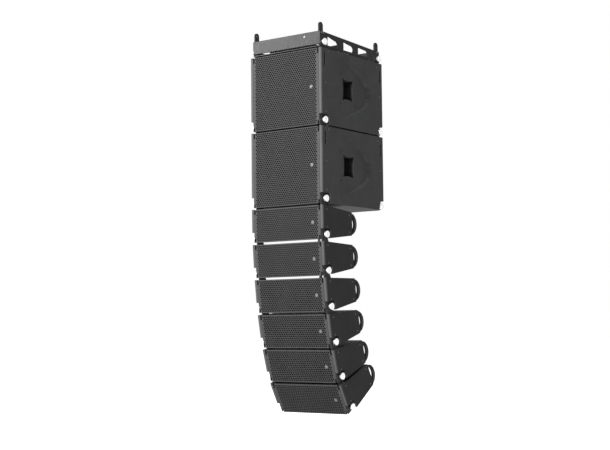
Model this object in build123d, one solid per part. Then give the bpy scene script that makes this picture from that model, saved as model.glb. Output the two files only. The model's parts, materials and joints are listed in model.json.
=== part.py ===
from build123d import *
import os
from math import atan, cos, degrees, hypot, radians, sin

# Flown line array: a flying frame, two bass cabinets and six splayed full-range modules.
# Millimetres. X runs across the width, the grilles face -Y, and +Z is up.
# The origin is the centre of the flying frame's four lifting-lug holes.

# ---- Driving dimensions ----------------------------------------------------------------
WIDTH = 730.0
GAP = 12.0                      # daylight between stacked cabinets
SUB_HEIGHT = 621.0
SUB_DEPTH = 883.0
MODULE_HEIGHT = 275.0
MODULE_DEPTH = 400.0            # to the back panel, without the handles
MODULE_REAR_HEIGHT = 191.0
HANDLE_REACH = 69.0             # how far a module's D handles stand behind its back panel
SPLAYS = (0.7, 3.4, 2.5, 4.5, 5.6, 12.5)    # degrees between neighbours, from the top down
MAX_SPLAY = 12.5

SIDE_THICKNESS = 28.0
SUB_PANEL = 18.0
MODULE_PANEL = 15.0
FRONT_CHAMFER = 6.0
FRONT_EASE = 2.5                # how far a side panel's outer face is eased in towards its front edge
FRONT_EASE_END = 34.0
EDGE_GROOVE_Y = (7.0, 9.5)      # shallow groove behind the front edge
PANEL_FRONT = 13.0              # front edges of the panels that lie behind a grille
GRILLE_SHEET = 2.0
GRILLE_LIP = 11.0

LINK_THICKNESS = 10.0
PLATE = 3.0                     # steel sheet of the link channels
LINK_SLIP = 1.5                 # room on each side of a link plate in its channel
CHANNEL_FRONT = 4.0
CHANNEL_REAR = 121.0
PIN_RADIUS = 8.0
RUNNING_GAP = 0.05              # radial room round every pull pin
PIN_Y = 58.0                    # front pin axis, behind the front face
PIN_RISE = 41.0                 # front pin axis, above its own cabinet's underside
REAR_PIN_INSET = 24.0           # rear pin axis, in front of a bass cabinet's back
REAR_PIN_RISE = 32.0
LINK_END_RADIUS = 27.0
REAR_LINK_END_RADIUS = 23.0
COLLAR_RADIUS = 15.0
COLLAR_LENGTH = 5.5
KNOB_RADIUS = 28.0
KNOB_HUB_RADIUS = 22.0
KNOB_FLANGE = 9.0
PIN_TIP_X = 318.3               # the pin ends inside the channel's inner cheek

LUG_FRONT_Y = 42.0              # lifting-lug holes, behind the front face
LUG_REAR_Y = 848.0
LUG_FRONT_Z = 188.0             # and above the top bass cabinet
LUG_REAR_Z = 160.0
LUG_HOLE_RADIUS = 9.0
LUG_THICKNESS = 12.0

FRAME_BOTTOM = 12.0             # heights in the frame are above the top bass cabinet
FRAME_PLATE = 8.0
FRAME_BAR_LOW = 30.0
FRAME_BAR_HIGH = 138.0
FRAME_BAR_Y = 10.0              # front face of the bar, behind the cabinets' front faces
FRAME_BAR_SHEET = 6.0

STUD_Y = 444.0                  # splay clamp stud on a module's back, behind its front face
STUD_RISE = 78.0                # and above its underside
STUD_RADIUS = 6.0
QUADRANT_HALF_WIDTH = 15.0
QUADRANT_THICKNESS = 8.0

# ---- Derived dimensions ----------------------------------------------------------------
HALF = WIDTH / 2
SIDE_IN = HALF - SIDE_THICKNESS
CHANNEL_OUT = SIDE_IN - PLATE
LINK_OUT = CHANNEL_OUT - LINK_SLIP
LINK_IN = LINK_OUT - LINK_THICKNESS
CHANNEL_IN = LINK_IN - LINK_SLIP
CORE = CHANNEL_IN - PLATE       # half width left between the two channels
COLLAR_OUT = SIDE_IN + COLLAR_LENGTH
HOLE_RADIUS = PIN_RADIUS + RUNNING_GAP
MODULE_DROP = (MODULE_HEIGHT - MODULE_REAR_HEIGHT) / 2
WEDGE = MODULE_DROP / MODULE_DEPTH
LUG_MID_Y = (LUG_FRONT_Y + LUG_REAR_Y) / 2
LUG_MID_Z = (LUG_FRONT_Z + LUG_REAR_Z) / 2
SUB_REAR_PIN_Y = SUB_DEPTH - REAR_PIN_INSET
STUD_FROM_HINGE = (STUD_Y - PIN_Y, STUD_RISE - PIN_RISE)
QUADRANT_RADIUS = hypot(*STUD_FROM_HINGE)
STUD_ANGLE = degrees(atan(STUD_FROM_HINGE[1] / STUD_FROM_HINGE[0]))


# ---- Shape helpers ---------------------------------------------------------------------
def block(x0, x1, y0, y1, z0, z1):
    """A box between two corners."""
    middle = Pos((x0 + x1) / 2, (y0 + y1) / 2, (z0 + z1) / 2)
    return middle * Box(x1 - x0, y1 - y0, z1 - z0)


def outline(*points):
    """A face from (y, z) points."""
    return Polygon(*points, align=None)


def rectangle(y0, y1, z0, z1):
    """A rectangular face in (y, z)."""
    return Pos((y0 + y1) / 2, (z0 + z1) / 2) * Rectangle(y1 - y0, z1 - z0)


def disc(y, z, radius):
    """A round face in (y, z)."""
    return Pos(y, z) * Circle(radius)


def across(face, x0, x1):
    """A (y, z) face made solid from x0 to x1."""
    return extrude(Plane.YZ.offset(x0) * face, amount=x1 - x0, dir=(1, 0, 0))


def turned(points):
    """A solid turned about the Y axis from (radius, y) points."""
    return revolve(Polygon(*points, align=None), axis=Axis.Y)


def both_sides(solid):
    """A right-hand solid and its mirror image on the left."""
    return [solid, mirror(solid, about=Plane.YZ)]


def upright_slot(y, low, high, width):
    """A vertical round-ended slot face."""
    radius = width / 2
    straight = rectangle(y - radius, y + radius, low + radius, high - radius)
    return straight + disc(y, low + radius, radius) + disc(y, high - radius, radius)


def knob_recess(y_wall, y_deep, low, high, corner):
    """A corner recess face between a cabinet's end and y_deep, with its inner corner rounded."""
    inwards = 1 if y_deep > y_wall else -1
    y_round = y_deep - inwards * corner
    tall = rectangle(*sorted((y_wall, y_round)), low, high)
    wide = rectangle(*sorted((y_wall, y_deep)), low, high - corner)
    return tall + wide + disc(y_round, high - corner, corner)


def front_edging(height):
    """What a right side panel loses at its front: a bevelled and eased outer edge, and a groove."""
    eased = HALF - FRONT_EASE
    waste = Polygon(
        (HALF + 1, -1), (eased - FRONT_CHAMFER - 1, -1), (eased, FRONT_CHAMFER),
        (HALF, FRONT_EASE_END), (HALF + 1, FRONT_EASE_END), align=None,
    )
    edge = extrude(Plane.XY.offset(-height - 1) * waste, amount=height + 2, dir=(0, 0, 1))
    return [edge, block(eased - 2, HALF + 1, *EDGE_GROOVE_Y, -height - 1, 1)]


def screw_sinks(points, radius, bottom_x):
    """Round sinks for screw heads in a right side panel, down to bottom_x."""
    return [across(disc(y, z, radius), bottom_x, HALF + 1) for y, z in points]


def write(name, solids, place):
    """Moves a node's solids from cabinet space into the array and writes them."""
    flat = []
    for item in solids:
        flat.extend(item.solids())
    export_step(Compound(children=[place * s for s in flat]), f"parts/{name}.step")


# ---- Places ----------------------------------------------------------------------------
# Cabinet space: y from the front face, z from the top front edge, downwards negative.
FRONT = Pos(0, -LUG_MID_Y, -LUG_MID_Z)


def sub_place(index):
    return FRONT * Pos(0, 0, -index * (SUB_HEIGHT + GAP))


def module_places():
    """The place of each module, hung on its upper neighbour's front pins."""
    places = []
    hinge = sub_place(1) * Pos(0, PIN_Y, PIN_RISE - SUB_HEIGHT)
    for splay in SPLAYS:
        place = hinge * Rot(splay, 0, 0) * Pos(0, -PIN_Y, -PIN_RISE - GAP)
        places.append(place)
        hinge = place * Pos(0, PIN_Y, PIN_RISE - MODULE_HEIGHT)
    return places


# ---- Pull knobs ------------------------------------------------------------------------
def pull_knob(y, z):
    """One right-hand spring pin: a flanged knob, flush with the side face, on a 16 mm pin."""
    inner = COLLAR_OUT + 0.5
    outer = HALF
    flange = outer - KNOB_FLANGE
    profile = Polygon(
        (PIN_TIP_X, 0),
        (PIN_TIP_X, PIN_RADIUS - 2),
        (PIN_TIP_X + 2, PIN_RADIUS),
        (inner, PIN_RADIUS),
        (inner, KNOB_HUB_RADIUS - 1),
        (inner + 1, KNOB_HUB_RADIUS),
        (flange, KNOB_HUB_RADIUS),
        (flange, KNOB_RADIUS - 1),
        (flange + 1, KNOB_RADIUS),
        (outer - 1, KNOB_RADIUS),
        (outer, KNOB_RADIUS - 1),
        (outer, 7),
        (outer - 3, 5),
        (outer - 3, 0),
        align=None,
    )
    return Pos(0, y, z) * revolve(profile, axis=Axis.X)


def write_knobs(name, points, place):
    right = [pull_knob(y, z) for y, z in points]
    left = [mirror(knob, about=Plane.YZ) for knob in right]
    write(f"{name}_knob_right", right, place)
    write(f"{name}_knob_left", left, place)


# ---- Link plates and channels ----------------------------------------------------------
def collar(y, z):
    """The screwed bush that guides a pull pin, on the outside of its steel plate."""
    ring = disc(y, z, COLLAR_RADIUS) - disc(y, z, HOLE_RADIUS)
    return across(ring, SIDE_IN, COLLAR_OUT)


def link_plate(y, rise, end_radius, base_low, base_front, base_rear):
    """A link plate that stands out of a cabinet's top and takes the pin of the one above."""
    hole_z = GAP + rise
    body = outline(
        (base_front, base_low),
        (base_rear, base_low),
        (base_rear, -14),
        (y + end_radius, hole_z),
        (y - end_radius, hole_z),
        (base_front, -14),
    )
    face = body + disc(y, hole_z, end_radius) - disc(y, hole_z, HOLE_RADIUS)
    return across(face, LINK_IN, LINK_OUT)


def channel(side_face, y_web, pin):
    """A steel channel: two cheeks with pin holes, and a web that joins them."""
    cheek = side_face - disc(*pin, HOLE_RADIUS)
    web = across(side_face & rectangle(*y_web, -2000, 2000), CHANNEL_IN, CHANNEL_OUT)
    inner = across(cheek, CORE, CHANNEL_IN)
    outer = across(cheek, CHANNEL_OUT, SIDE_IN)
    return inner + outer + web


# ---- Grilles and drivers ---------------------------------------------------------------
def grille(height):
    """A steel grille tray with folded lips, notched at its top corners for the link plates."""
    half = SIDE_IN - 1
    sheet = block(-half, half, 0, GRILLE_SHEET, 1 - height, -1)
    for low, high in ((-1 - GRILLE_SHEET, -1), (1 - height, 1 - height + GRILLE_SHEET)):
        sheet += block(-CORE + 1, CORE - 1, GRILLE_SHEET, GRILLE_LIP, low, high)
    for notch in both_sides(block(CORE + 1, CHANNEL_OUT, -1, GRILLE_LIP, -45, 1)):
        sheet -= notch
    for notch in both_sides(block(CORE + 1, CHANNEL_OUT, -1, GRILLE_LIP, -height, 30 - height)):
        sheet -= notch
    return sheet


def woofer(radius, baffle_front, x=0.0, z=0.0):
    """A cone driver whose flange lies on the front of its baffle."""
    flange = 0.03 * radius
    profile = [
        (0, 0.26 * radius),
        (0.30 * radius, 0.34 * radius),
        (0.86 * radius, 0.02 * radius),
        (0.90 * radius, 0),
        (radius, 0),
        (radius, flange),
        (0.92 * radius, flange),
        (0.90 * radius, 0.12 * radius),
        (0.48 * radius, 0.50 * radius),
        (0.48 * radius, 0.78 * radius),
        (0, 0.78 * radius),
    ]
    return Pos(x, baffle_front - flange, z) * turned(profile)


# ---- Bass cabinet ----------------------------------------------------------------------
SUB_MID_Z = -SUB_HEIGHT / 2
CUP_CENTRE = (377.0, -299.0)
CUP_WIDTH = 168.0
CUP_HEIGHT = 182.0
CUP_PINCH = 12.0
CUP_DEPTH = 100.0
CUP_SCREWS = [(264.0, -420.5), (491.0, -420.5), (264.0, -177.5), (491.0, -177.5)]
CUP_SCREW_RADIUS = 7.0
PANEL_SCREW_RADIUS = 6.5
PANEL_SCREW_SINK = 2.0
SUB_SCREWS = [(92.0, -24.0), (56.0, -281.0), (57.0, -511.0), (807.0, -39.0), (847.0, -291.0)]
SUB_REAR_CHANNEL = (805.0, 879.0)
SUB_BAFFLE = (45.0, 63.0)
SUB_WOOFER_RADIUS = 230.0
DISH_START = 226.0              # where the scooped relief round the handle leaves the side face
DISH_END = 698.0
DISH_HALF_HEIGHT = 287.0
DISH_TURN_Y = 600.0             # where the straight edges meet the round end
DISH_TURN_HALF = 140.0
DISH_DEPTH = 22.0
POCKET_Y = (404.0, 474.0)       # rear link pocket in the underside
POCKET_HEIGHT = 190.0
POCKET_HALF_WIDTH = 26.0
PAN_HALF_WIDTH = 95.0           # connector pan in the back
PAN_HALF_HEIGHT = 65.0
PAN_DEPTH = 30.0


def cup_face(grow=0.0):
    """The handle cup's opening: four corners joined by sides that bow inwards."""
    y, z = CUP_CENTRE
    half_y = CUP_WIDTH / 2 + grow
    half_z = CUP_HEIGHT / 2 + grow
    turns = [(-1, -1), (1, -1), (1, 1), (-1, 1)]
    corners = [(y + a * half_y, z + b * half_z) for a, b in turns]
    arcs = []
    for (y0, z0), (y1, z1) in zip(corners, corners[1:] + corners[:1]):
        mid_y, mid_z = (y0 + y1) / 2, (z0 + z1) / 2
        away = hypot(mid_y - y, mid_z - z)
        pinch = (away - CUP_PINCH) / away
        arcs.append(ThreePointArc((y0, z0), (y + (mid_y - y) * pinch, z + (mid_z - z) * pinch), (y1, z1)))
    return make_face(Curve() + arcs)


def dish_outline(inset):
    """The scooped relief's outline: two straight edges that close in rearwards to a round end."""
    z = CUP_CENTRE[1]
    half = DISH_HALF_HEIGHT - 0.6 * inset
    turn_half = DISH_TURN_HALF - 0.75 * inset
    front_top, front_low = (DISH_START - 30, z + half), (DISH_START - 30, z - half)
    turn_top, turn_low = (DISH_TURN_Y, z + turn_half), (DISH_TURN_Y, z - turn_half)
    upper = Line(front_top, turn_top)
    back = ThreePointArc(turn_top, (DISH_END - inset, z), turn_low)
    lower = Line(turn_low, front_low)
    front = Line(front_low, front_top)
    return make_face(Curve() + [upper, back, lower, front])


def dish():
    """The scoop: sloping walls, and a floor that sinks evenly towards the rear."""
    rim = Plane.YZ.offset(HALF + 0.01) * dish_outline(0)
    floor = Plane.YZ.offset(HALF - DISH_DEPTH) * dish_outline(46)
    bowl = loft([rim, floor])
    deepest_y = DISH_END - 40
    wedge = Polygon(
        (HALF + 5, DISH_START), (HALF, DISH_START), (HALF - DISH_DEPTH, deepest_y),
        (HALF - DISH_DEPTH, DISH_END + 20), (HALF + 5, DISH_END + 20), align=None,
    )
    return bowl & extrude(Plane.XY.offset(-SUB_HEIGHT) * wedge, amount=SUB_HEIGHT, dir=(0, 0, 1))


def front_link_slot():
    """The window in a bass cabinet's side through which its front link plate is reached."""
    return upright_slot(46, -146, -40, 22)


def rear_link_slot():
    """The same window for the rear link plate."""
    return upright_slot(SUB_DEPTH - 31, -169, -65, 20)


def sub_side():
    """A bass cabinet's right side panel: link slots, knob recesses, scoop, cup opening and screw sinks."""
    face = rectangle(0, SUB_DEPTH, -SUB_HEIGHT, 0)
    face -= knob_recess(-1, 101, -SUB_HEIGHT - 1, 86 - SUB_HEIGHT, 35)
    face -= knob_recess(SUB_DEPTH + 1, SUB_REAR_PIN_Y - 40, -SUB_HEIGHT - 1, 74 - SUB_HEIGHT, 30)
    face -= front_link_slot()
    face -= rear_link_slot()
    face -= cup_face()
    panel = across(face, SIDE_IN, HALF) - front_edging(SUB_HEIGHT) - dish()
    panel -= screw_sinks(CUP_SCREWS, CUP_SCREW_RADIUS, HALF - 20)
    panel -= screw_sinks(SUB_SCREWS, PANEL_SCREW_RADIUS, HALF - PANEL_SCREW_SINK)
    return panel


def sub_plank(low, high, pocket):
    """A bass cabinet's top or bottom panel, notched at all four link channels."""
    plank = block(-SIDE_IN, SIDE_IN, PANEL_FRONT, SUB_DEPTH, low, high)
    for notch in both_sides(block(CORE, HALF, 0, CHANNEL_REAR, low - 1, high + 1)):
        plank -= notch
    rear_y = SUB_REAR_CHANNEL[0]
    for notch in both_sides(block(CORE, HALF, rear_y, SUB_DEPTH + 1, low - 1, high + 1)):
        plank -= notch
    if pocket:
        plank -= block(-POCKET_HALF_WIDTH, POCKET_HALF_WIDTH, *POCKET_Y, low - 1, high + 1)
    return plank


def centred_block(half_width, half_height, y0, y1):
    """A box centred on the middle of a bass cabinet's back."""
    return block(-half_width, half_width, y0, y1, SUB_MID_Z - half_height, SUB_MID_Z + half_height)


def sub_cabinet():
    radius = 0.925 * SUB_WOOFER_RADIUS
    baffle = block(-CORE, CORE, *SUB_BAFFLE, SUB_PANEL - SUB_HEIGHT, -SUB_PANEL)
    baffle -= Pos(0, SUB_BAFFLE[0], SUB_MID_Z) * turned([(0, -1), (radius, -1), (radius, 30), (0, 30)])
    back = block(-CORE, CORE, SUB_DEPTH - SUB_PANEL, SUB_DEPTH, SUB_PANEL - SUB_HEIGHT, -SUB_PANEL)
    back -= centred_block(PAN_HALF_WIDTH, PAN_HALF_HEIGHT, SUB_DEPTH - 30, SUB_DEPTH + 1)
    planks = [sub_plank(-SUB_PANEL, 0, False), sub_plank(-SUB_HEIGHT, SUB_PANEL - SUB_HEIGHT, True)]
    return both_sides(sub_side()) + planks + [baffle, back]


def handle_cup():
    """A moulded handle pan let into the side panel."""
    shell = across(cup_face(), HALF - CUP_DEPTH, HALF - 14)
    hollow = across(cup_face(-3.5), HALF - CUP_DEPTH + 4, HALF)
    return shell - hollow - dish()


def sub_rigging():
    """Front and rear link plates, their four channels, pin bushes and the rear link pocket."""
    low = 2 - SUB_HEIGHT
    front_face = rectangle(CHANNEL_FRONT, CHANNEL_REAR, low, -2)
    rear_face = rectangle(*SUB_REAR_CHANNEL, low, -2)
    front_pin = (PIN_Y, PIN_RISE - SUB_HEIGHT)
    rear_pin = (SUB_REAR_PIN_Y, REAR_PIN_RISE - SUB_HEIGHT)
    front = channel(front_face, (CHANNEL_REAR - PLATE, CHANNEL_REAR), front_pin)
    rear = channel(rear_face, (SUB_REAR_CHANNEL[0], SUB_REAR_CHANNEL[0] + PLATE), rear_pin)
    front -= across(front_link_slot(), CHANNEL_OUT - 0.5, SIDE_IN + 1)
    rear -= across(rear_link_slot(), CHANNEL_OUT - 0.5, SIDE_IN + 1)
    front_link = link_plate(PIN_Y, PIN_RISE, LINK_END_RADIUS, -175, 20, 115)
    rear_base = (SUB_REAR_CHANNEL[0] + 8, SUB_DEPTH - 3)
    rear_link = link_plate(SUB_REAR_PIN_Y, REAR_PIN_RISE, REAR_LINK_END_RADIUS, -190, *rear_base)
    solids = []
    for piece in (front, rear, front_link, rear_link, collar(*front_pin), collar(*rear_pin)):
        solids.extend(both_sides(piece))
    pocket_top = POCKET_HEIGHT - SUB_HEIGHT
    pocket = block(-POCKET_HALF_WIDTH, POCKET_HALF_WIDTH, *POCKET_Y, -SUB_HEIGHT, pocket_top)
    pocket -= block(
        PLATE - POCKET_HALF_WIDTH, POCKET_HALF_WIDTH - PLATE,
        POCKET_Y[0] + PLATE, POCKET_Y[1] - PLATE, -SUB_HEIGHT - 1, pocket_top - PLATE,
    )
    stud_x = POCKET_HALF_WIDTH - PLATE
    stud = across(disc(STUD_Y, STUD_RISE - SUB_HEIGHT, STUD_RADIUS), -stud_x, stud_x)
    return solids + [pocket, stud]


def sub_rear_panel():
    """The pressed connector pan let into a bass cabinet's back, with a rim that lies on the back."""
    rim = centred_block(PAN_HALF_WIDTH + 15, PAN_HALF_HEIGHT + 15, SUB_DEPTH, SUB_DEPTH + PLATE)
    pan = centred_block(PAN_HALF_WIDTH, PAN_HALF_HEIGHT, SUB_DEPTH - PAN_DEPTH, SUB_DEPTH)
    floor = SUB_DEPTH - PAN_DEPTH + PLATE
    return rim + pan - centred_block(PAN_HALF_WIDTH - PLATE, PAN_HALF_HEIGHT - PLATE, floor, SUB_DEPTH + 9)


def write_sub(index):
    name = f"sub_{index + 1}"
    place = sub_place(index)
    write(f"{name}_cabinet", sub_cabinet(), place)
    write(f"{name}_grille", [grille(SUB_HEIGHT)], place)
    write(f"{name}_woofer", [woofer(SUB_WOOFER_RADIUS, SUB_BAFFLE[0], 0, SUB_MID_Z)], place)
    write(f"{name}_handle_cups", both_sides(handle_cup()), place)
    write(f"{name}_rigging", sub_rigging(), place)
    write(f"{name}_rear_panel", [sub_rear_panel()], place)
    pins = [(PIN_Y, PIN_RISE - SUB_HEIGHT), (SUB_REAR_PIN_Y, REAR_PIN_RISE - SUB_HEIGHT)]
    write_knobs(name, pins, place)


# ---- Full-range module -----------------------------------------------------------------
MODULE_MID_Z = -MODULE_HEIGHT / 2
HANDLE_RADIUS = 90.0
HANDLE_RIM = 15.0
HANDLE_CENTRE_Y = MODULE_DEPTH + HANDLE_REACH - HANDLE_RADIUS
HANDLE_SLOT_START = MODULE_DEPTH + 4
MODULE_BAFFLE = (40.0, 54.0)
MODULE_WOOFER_RADIUS = 118.0
MODULE_WOOFER_X = 193.0
WAVEGUIDE_HALF_WIDTH = 62.0
WAVEGUIDE_HALF_HEIGHT = 95.0
WAVEGUIDE_Y = (18.0, 160.0)     # from the horn's mouth to its throat
FOOT_Z = (-88.0, -50.0)         # quadrant foot on the back panel
MODULE_SCREWS = [(52.0, -33.0), (52.0, -175.0), (364.0, -68.0), (364.0, -207.0)]


def wedge_z(y, inset=0.0):
    """Height of a module's sloping top at y, moved inwards by inset."""
    return -WEDGE * y - inset


def wedge_face(y0, y1, inset=0.0):
    """A module's tapering side outline between y0 and y1, moved inwards by inset."""
    return outline(
        (y0, wedge_z(y0, inset)),
        (y1, wedge_z(y1, inset)),
        (y1, -MODULE_HEIGHT - wedge_z(y1, inset)),
        (y0, -MODULE_HEIGHT - wedge_z(y0, inset)),
    )


def module_side():
    """A module's right side panel, which runs on behind the back as a D handle."""
    face = wedge_face(0, MODULE_DEPTH) + disc(HANDLE_CENTRE_Y, MODULE_MID_Z, HANDLE_RADIUS)
    finger_hole = disc(HANDLE_CENTRE_Y, MODULE_MID_Z, HANDLE_RADIUS - HANDLE_RIM)
    face -= finger_hole & rectangle(HANDLE_SLOT_START, 600, -MODULE_HEIGHT, 0)
    face -= knob_recess(-1, 101, -MODULE_HEIGHT - 1, 86 - MODULE_HEIGHT, 35)
    panel = across(face, SIDE_IN, HALF) - front_edging(MODULE_HEIGHT)
    return panel - screw_sinks(MODULE_SCREWS, PANEL_SCREW_RADIUS, HALF - PANEL_SCREW_SINK)


def module_plank():
    """A module's sloping top panel, notched at both link channels."""
    y0, y1 = PANEL_FRONT, MODULE_DEPTH
    thick = MODULE_PANEL
    face = outline((y0, wedge_z(y0)), (y1, wedge_z(y1)), (y1, wedge_z(y1, thick)), (y0, wedge_z(y0, thick)))
    plank = across(face, -SIDE_IN, SIDE_IN)
    for notch in both_sides(block(CORE, HALF, 0, CHANNEL_REAR, -MODULE_HEIGHT, 1)):
        plank -= notch
    return plank


def module_cabinet():
    top = module_plank()
    bottom = Pos(0, 0, -MODULE_HEIGHT) * mirror(top, about=Plane.XY)
    back_face = wedge_face(MODULE_DEPTH - MODULE_PANEL, MODULE_DEPTH, MODULE_PANEL)
    back = across(back_face, -SIDE_IN, SIDE_IN)
    baffle = across(wedge_face(*MODULE_BAFFLE, MODULE_PANEL), -CORE, CORE)
    radius = 0.925 * MODULE_WOOFER_RADIUS
    for x in (-MODULE_WOOFER_X, MODULE_WOOFER_X):
        hole = turned([(0, -1), (radius, -1), (radius, 30), (0, 30)])
        baffle -= Pos(x, MODULE_BAFFLE[0], MODULE_MID_Z) * hole
    half = WAVEGUIDE_HALF_WIDTH
    mouth = WAVEGUIDE_HALF_HEIGHT
    baffle -= block(-half, half, 0, 100, MODULE_MID_Z - mouth, MODULE_MID_Z + mouth)
    rear = MODULE_DEPTH
    sockets = block(90, 210, rear, rear + PLATE, MODULE_MID_Z - 45, MODULE_MID_Z + 45)
    return both_sides(module_side()) + [top, bottom, back, baffle, sockets]


def horn(width, height, throat_width, throat_height):
    """A tapering solid between a mouth and a throat of the given sizes."""
    faces = []
    for y, across_x, up in zip(WAVEGUIDE_Y, (width, throat_width), (height, throat_height)):
        faces.append(Plane.XZ.offset(-y) * Pos(0, MODULE_MID_Z) * Rectangle(across_x, up))
    return loft(faces)


def waveguide():
    """A horn that narrows from a tall mouth in the baffle to the compression driver's throat."""
    width = 2 * WAVEGUIDE_HALF_WIDTH
    height = 2 * WAVEGUIDE_HALF_HEIGHT
    return horn(width, height, 44, 60) - horn(width - 8, height - 8, 26, 40)


def compression_driver():
    """The high-frequency driver behind the waveguide's throat."""
    y = WAVEGUIDE_Y[1]
    profile = [(0, y), (38, y), (38, y + 12), (70, y + 16), (70, y + 66), (62, y + 74), (0, y + 74)]
    return Pos(0, 0, MODULE_MID_Z) * turned(profile)


def module_drivers():
    solids = [waveguide(), compression_driver()]
    for x in (-MODULE_WOOFER_X, MODULE_WOOFER_X):
        solids.append(woofer(MODULE_WOOFER_RADIUS, MODULE_BAFFLE[0], x, MODULE_MID_Z))
    return solids


def on_arc(radius, angle):
    """A point round the upper hinge, in the space of the module that hangs on it."""
    hinge_z = GAP + PIN_RISE
    return (PIN_Y + radius * cos(radians(angle)), hinge_z + radius * sin(radians(angle)))


def arc_band(radius, half_width, low, high):
    """A curved band face with round ends, about the hinge above this module."""
    middle = (low + high) / 2
    outer = radius + half_width
    inner = radius - half_width
    edges = [
        ThreePointArc(on_arc(outer, low), on_arc(outer, middle), on_arc(outer, high)),
        Line(on_arc(outer, high), on_arc(inner, high)),
        ThreePointArc(on_arc(inner, high), on_arc(inner, middle), on_arc(inner, low)),
        Line(on_arc(inner, low), on_arc(outer, low)),
    ]
    band = make_face(Curve() + edges)
    for angle in (low, high):
        band += disc(*on_arc(radius, angle), half_width)
    return band


def splay_quadrant():
    """The slotted plate on a module's back that slides past the stud of the cabinet above, and its feet."""
    high = STUD_ANGLE
    low = STUD_ANGLE - MAX_SPLAY
    slot = arc_band(QUADRANT_RADIUS, STUD_RADIUS + 0.4, low - 0.2, high + 0.2)
    strap = arc_band(QUADRANT_RADIUS, QUADRANT_HALF_WIDTH, low - 0.6, high + 0.6)
    rear = STUD_Y + 12
    front = STUD_Y - 12
    foot_low, foot_high = FOOT_Z
    shank = outline(
        (MODULE_DEPTH, foot_low), (rear, foot_low), (rear, -4), (front, -4), (MODULE_DEPTH, foot_high)
    )
    half = QUADRANT_THICKNESS / 2
    plate = across(shank + strap - slot, -half, half)
    return [plate] + both_sides(block(half, 30, MODULE_DEPTH, MODULE_DEPTH + 6, *FOOT_Z))


def splay_bracket():
    """Two ears and a clamp stud on a module's back, for the quadrant of the module below."""
    z = STUD_RISE - MODULE_HEIGHT
    ear = outline((MODULE_DEPTH, z - 20), (STUD_Y, z - 14), (STUD_Y, z + 14), (MODULE_DEPTH, z + 20))
    ear += disc(STUD_Y, z, 14)
    gap = QUADRANT_THICKNESS / 2 + 0.8
    right = across(ear, gap, gap + 6)
    stud = across(disc(STUD_Y, z, STUD_RADIUS), -gap - 14, gap + 14)
    head = across(disc(STUD_Y, z, 12), gap + 6, gap + 18)
    return both_sides(right + head) + [stud - right - head - mirror(right + head, about=Plane.YZ)]


def module_rigging():
    """Link plates, channels, pin bushes, splay quadrant and splay bracket of one module."""
    inset = 2.0
    pin = (PIN_Y, PIN_RISE - MODULE_HEIGHT)
    rail_face = wedge_face(CHANNEL_FRONT, CHANNEL_REAR, inset)
    rail = channel(rail_face, (CHANNEL_REAR - PLATE, CHANNEL_REAR), pin)
    link = link_plate(PIN_Y, PIN_RISE, LINK_END_RADIUS, -130, 20, 115)
    solids = []
    for piece in (rail, link, collar(*pin)):
        solids.extend(both_sides(piece))
    return solids + splay_quadrant() + splay_bracket()


def write_module(index, place):
    name = f"module_{index + 1}"
    write(f"{name}_cabinet", module_cabinet(), place)
    write(f"{name}_grille", [grille(MODULE_HEIGHT)], place)
    write(f"{name}_drivers", module_drivers(), place)
    write(f"{name}_rigging", module_rigging(), place)
    write_knobs(name, [(PIN_Y, PIN_RISE - MODULE_HEIGHT)], place)


# ---- Flying frame ----------------------------------------------------------------------
FRAME_PLATE_OUT = CHANNEL_OUT + FRAME_PLATE
FRAME_REAR_Y = 880.0
FRAME_TOP_FRONT = 140.0
FRAME_TOP_REAR = 108.0
CUTOUT_STARTS = (120.0, 346.0, 560.0)
CUTOUT_LENGTH = 138.0
CUTOUT_BOTTOM = 34.0
CUTOUT_MARGIN = 26.0            # metal left above a cut-out's front end
REAR_BAR_Y = (757.0, 805.0)
MID_BAR_Y = (286.0, 326.0)
LUG_HALF_WIDTH = 26.0
LUG_FOOT_DROP = 76.0            # how far a lug's foot and its bolts are below its hole
LUG_BOLT_DROP = 63.0
LUG_BOLT_SPREAD = 12.0
BAR_NOTCHES = ((-264.0, -144.0), (284.0, 308.0))    # across, in the front bar's lower flange
BOLT_RADIUS = 6.0


def frame_top(y):
    """Height of the side plates' sloping top edge."""
    return FRAME_TOP_FRONT + (FRAME_TOP_REAR - FRAME_TOP_FRONT) * y / FRAME_REAR_Y


def truss_cutout(start):
    """A lightening hole: upright front edge, falling top edge and a rounded rear end."""
    end = start + CUTOUT_LENGTH
    low = CUTOUT_BOTTOM
    high = frame_top(start) - CUTOUT_MARGIN
    rear = [(end - 12, low), (end, low + 14), (end, low + 36), (end - 14, low + 50)]
    return outline((start, low), *rear, (start, high))


def frame_side():
    """A right-hand side plate with its truss cut-outs and pin holes."""
    low, rear = FRAME_BOTTOM, FRAME_REAR_Y
    front = FRAME_BAR_Y + FRAME_BAR_SHEET
    face = outline((front, low), (front, frame_top(front)), (rear, FRAME_TOP_REAR), (rear, low))
    for start in CUTOUT_STARTS:
        face -= truss_cutout(start)
    face -= disc(PIN_Y, FRAME_BOTTOM + PIN_RISE, HOLE_RADIUS)
    face -= disc(SUB_REAR_PIN_Y, FRAME_BOTTOM + REAR_PIN_RISE, HOLE_RADIUS)
    return across(face, CHANNEL_OUT, FRAME_PLATE_OUT)


def frame_collar(y, z):
    """A short bush on the outside of a side plate."""
    ring = disc(y, z, COLLAR_RADIUS) - disc(y, z, HOLE_RADIUS)
    return across(ring, FRAME_PLATE_OUT, COLLAR_OUT)


def lug_holes():
    return [(LUG_FRONT_Y, LUG_FRONT_Z), (LUG_REAR_Y, LUG_REAR_Z)]


def lug_bolt_points():
    points = []
    for y, z in lug_holes():
        for offset in (-LUG_BOLT_SPREAD, LUG_BOLT_SPREAD):
            points.append((y + offset, z - LUG_BOLT_DROP))
    return points


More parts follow.
